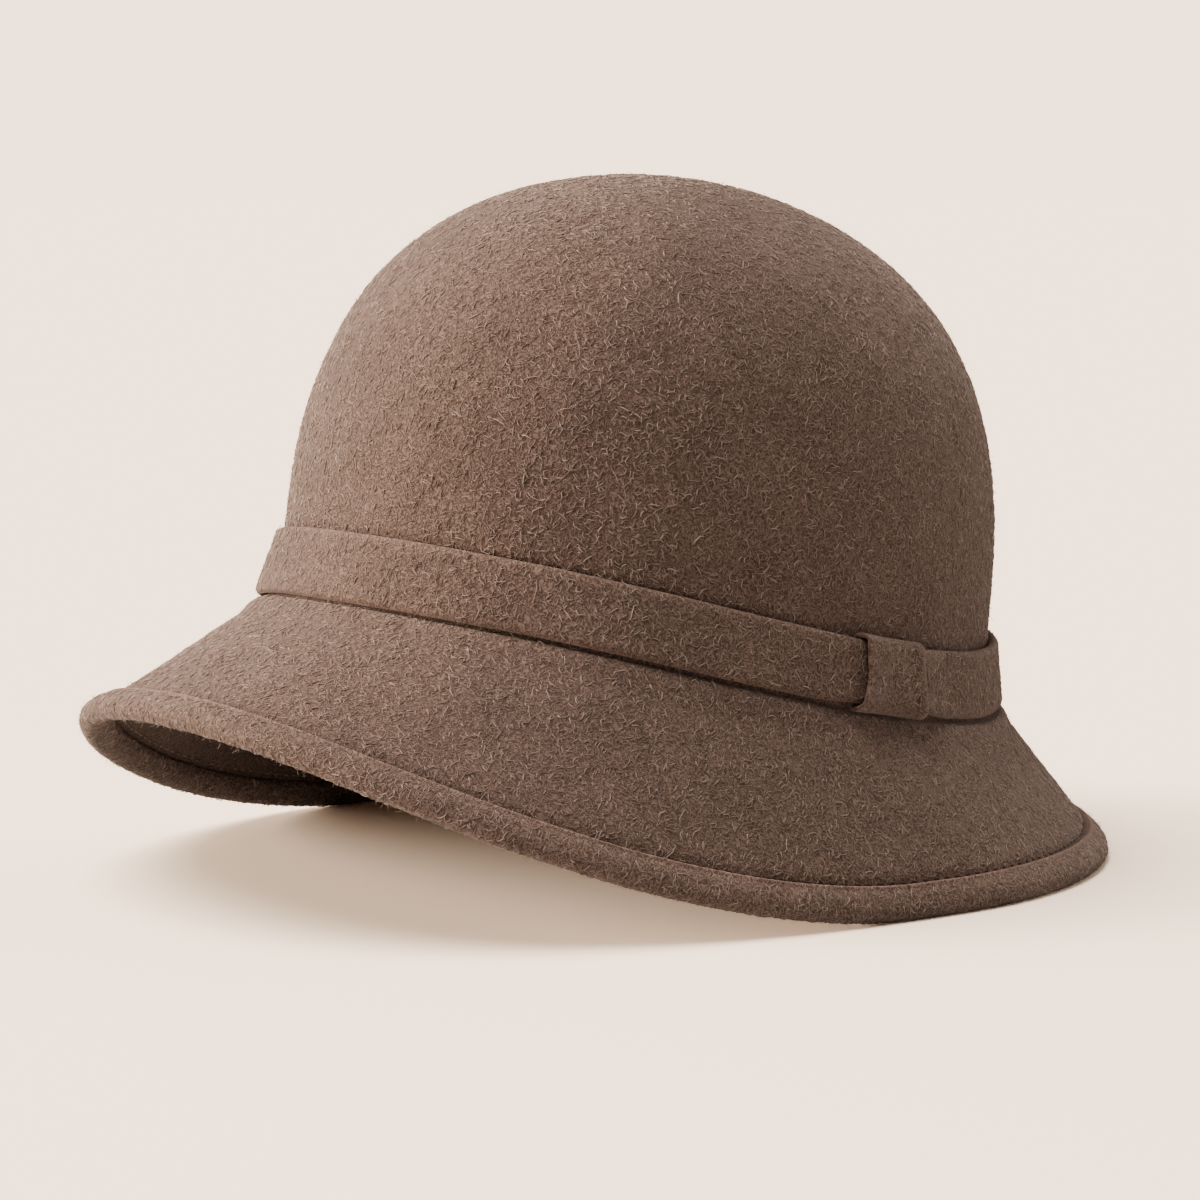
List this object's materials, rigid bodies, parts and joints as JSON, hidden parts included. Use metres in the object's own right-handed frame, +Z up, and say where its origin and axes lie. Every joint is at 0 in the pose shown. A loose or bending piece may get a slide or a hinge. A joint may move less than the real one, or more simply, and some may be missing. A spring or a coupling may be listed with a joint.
{
  "type": "cloche hat",
  "caption": "Bell-shaped felt hat with a rounded crown, a sloping brim with a bound edge and a felt band closed by a keeper.",
  "frame": {"origin": "on the surface the hat rests on, under the middle of its outline", "axes": "+Y from front to back, +X towards the wearer's left, +Z up"},
  "size_m": [0.237, 0.283, 0.1796],
  "materials": {
    "body_felt": "napped wool felt, matt",
    "binding_felt": "napped wool felt, matt",
    "band_felt": "napped wool felt, matt",
    "keeper_felt": "napped wool felt, matt"
  },
  "bodies": {
    "root": {"crown_and_brim": "body_felt", "brim_binding": "binding_felt", "band": "band_felt", "band_keeper": "keeper_felt"}
  },
  "joints": []
}
